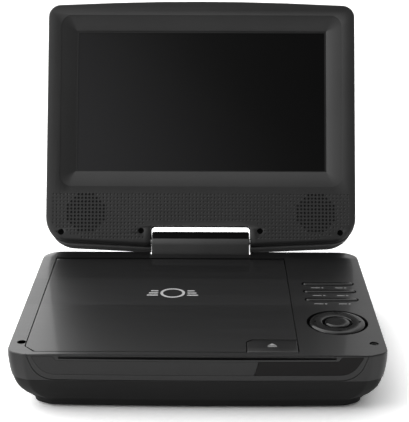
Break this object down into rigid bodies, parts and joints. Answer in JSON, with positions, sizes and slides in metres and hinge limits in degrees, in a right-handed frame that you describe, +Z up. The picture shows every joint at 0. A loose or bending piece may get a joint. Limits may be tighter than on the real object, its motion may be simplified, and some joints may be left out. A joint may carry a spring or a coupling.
{
  "type": "portable disc player",
  "caption": "Portable disc player with a top-loading disc lid, control keys on the deck, and a screen that folds down on a rear friction hinge.",
  "frame": {"origin": "on the table, under the middle of the player's overall width and depth with the screen open at rest", "axes": "+Z up, +X to the user's right, -Y towards the user; the screen's hinge axis is along X"},
  "size_m": [0.19, 0.2208, 0.1766],
  "materials": {
    "shell": "dark grey moulded housing, satin gloss",
    "deck": "dark glossy plastic with a fine cross-brushed grain",
    "trim": "glossy dark grey front strip",
    "key": "glossy dark grey keys",
    "black_plastic": "black moulded plastic",
    "grey_plastic": "dark grey inner mouldings",
    "smoked": "smoked infra-red window",
    "lcd": "dark liquid crystal panel",
    "rubber": "black rubber",
    "steel": "zinc-plated steel",
    "bright_steel": "ground steel rod and spring wire",
    "lens": "pickup lens in its holder",
    "board": "green circuit board with parts",
    "silicone": "translucent silicone key mat",
    "battery": "blue shrink-wrapped battery",
    "wire": "red and black wire loom"
  },
  "bodies": {
    "base": {"top_deck": "deck", "lower_body": "shell", "bottom_cover": "shell", "battery_door": "shell", "rubber_feet": "rubber", "base_screws": "steel", "deck_screws": "steel", "front_trim": "trim", "ir_window": "smoked", "ir_board": "board", "ir_parts": "black_plastic", "disc_tray": "grey_plastic", "loader_chassis": "steel", "chassis_grommets": "rubber", "inner_screws": "steel", "spindle_motor": "steel", "guide_rods": "bright_steel", "sled_motor": "steel", "lid_lugs": "grey_plastic", "lid_spring": "bright_steel", "open_key_guide": "grey_plastic", "open_key_spring": "bright_steel", "key_frame": "grey_plastic", "key_board": "board", "key_mat": "silicone", "main_board": "board", "main_chips": "black_plastic", "battery_pack": "battery", "charge_jack": "black_plastic", "phone_jack": "black_plastic", "video_jack": "black_plastic", "volume_pot": "grey_plastic", "power_switch": "grey_plastic", "hinge_bracket": "steel", "hinge_cover": "shell", "hinge_wires": "wire"},
    "disc_lid": {"disc_lid": "deck", "lid_liner": "grey_plastic", "lid_pins": "bright_steel"},
    "turntable": {"turntable_hub": "black_plastic"},
    "sled": {"pickup_sled": "black_plastic", "pickup_lens": "lens"},
    "lead_screw": {"lead_screw": "bright_steel"},
    "open_key": {"open_key": "key"},
    "lid_latch": {"lid_latch": "grey_plastic"},
    "nav_pivot": {"nav_pivot": "bright_steel"},
    "nav_ring": {"nav_ring": "key"},
    "enter_key": {"enter_key": "key"},
    "bar_key_1": {"bar_key_1": "key"},
    "bar_key_2": {"bar_key_2": "key"},
    "bar_key_3": {"bar_key_3": "key"},
    "volume_wheel": {"volume_wheel": "black_plastic"},
    "power_knob": {"power_knob": "black_plastic"},
    "screen": {"hinge_shafts": "bright_steel", "hinge_arms": "steel", "screen_bezel": "shell", "screen_back": "shell", "lcd_panel": "lcd", "speakers": "black_plastic", "screen_electronics": "board"}
  },
  "joints": [
    {"name": "screen_tilt", "type": "hinge", "parent": "base", "child": "screen", "pos_m": [0, 0.04506, 0.0368], "axis": [-1, 0, 0], "range_deg": [-112.3, 32]},
    {"name": "lid_open", "type": "hinge", "parent": "base", "child": "disc_lid", "pos_m": [-0.018, 0.02656, 0.0294], "axis": [-1, 0, 0], "range_deg": [0, 75]},
    {"name": "disc_spin", "type": "hinge", "parent": "base", "child": "turntable", "pos_m": [-0.018, -0.04194, 0.0249], "axis": [0, 0, 1], "continuous": true},
    {"name": "sled_travel", "type": "slide", "parent": "base", "child": "sled", "axis": [0, 1, 0], "range_m": [0, 0.027]},
    {"name": "lead_screw_turn", "type": "hinge", "parent": "base", "child": "lead_screw", "pos_m": [0.007, -0.02044, 0.0165], "axis": [0, 1, 0], "range_deg": [0, 1944]},
    {"name": "open_key_press", "type": "slide", "parent": "base", "child": "open_key", "axis": [0, 0, -1], "range_m": [0, 0.001], "stiffness_N_per_m": 1200, "deforming": ["open_key_spring"]},
    {"name": "latch_turn", "type": "hinge", "parent": "base", "child": "lid_latch", "pos_m": [0.03, -0.09844, 0.019], "axis": [0, 1, 0], "range_deg": [0, 7.6]},
    {"name": "nav_up_down", "type": "hinge", "parent": "base", "child": "nav_pivot", "pos_m": [0.0731, -0.06784, 0.0282], "axis": [1, 0, 0], "range_deg": [-2.5, 2.5], "stiffness_Nm_per_rad": 0.4},
    {"name": "nav_left_right", "type": "hinge", "parent": "nav_pivot", "child": "nav_ring", "pos_m": [0.0731, -0.06784, 0.0282], "axis": [0, -1, 0], "range_deg": [-2.5, 2.5], "stiffness_Nm_per_rad": 0.4},
    {"name": "enter_press", "type": "slide", "parent": "base", "child": "enter_key", "axis": [0, 0, -1], "range_m": [0, 0.0003], "stiffness_N_per_m": 2000},
    {"name": "bar_key_1_rock", "type": "hinge", "parent": "base", "child": "bar_key_1", "pos_m": [0.0731, -0.01224, 0.0282], "axis": [0, -1, 0], "range_deg": [-2.5, 2.5], "stiffness_Nm_per_rad": 0.3},
    {"name": "bar_key_2_rock", "type": "hinge", "parent": "base", "child": "bar_key_2", "pos_m": [0.0731, -0.02384, 0.0282], "axis": [0, -1, 0], "range_deg": [-2.5, 2.5], "stiffness_Nm_per_rad": 0.3},
    {"name": "bar_key_3_rock", "type": "hinge", "parent": "base", "child": "bar_key_3", "pos_m": [0.0731, -0.03594, 0.0282], "axis": [0, -1, 0], "range_deg": [-2.5, 2.5], "stiffness_Nm_per_rad": 0.3},
    {"name": "volume_turn", "type": "hinge", "parent": "base", "child": "volume_wheel", "pos_m": [0.0869, -0.05844, 0.02], "axis": [0, 0, 1], "range_deg": [0, 270]},
    {"name": "power_slide", "type": "slide", "parent": "base", "child": "power_knob", "axis": [0, 1, 0], "range_m": [0, 0.004]}
  ],
  "couplings": [
    {"joint": "lead_screw_turn", "follows": "sled_travel", "rad_per_m": 1256.6},
    {"joint": "latch_turn", "follows": "open_key_press", "rad_per_m": 130}
  ]
}
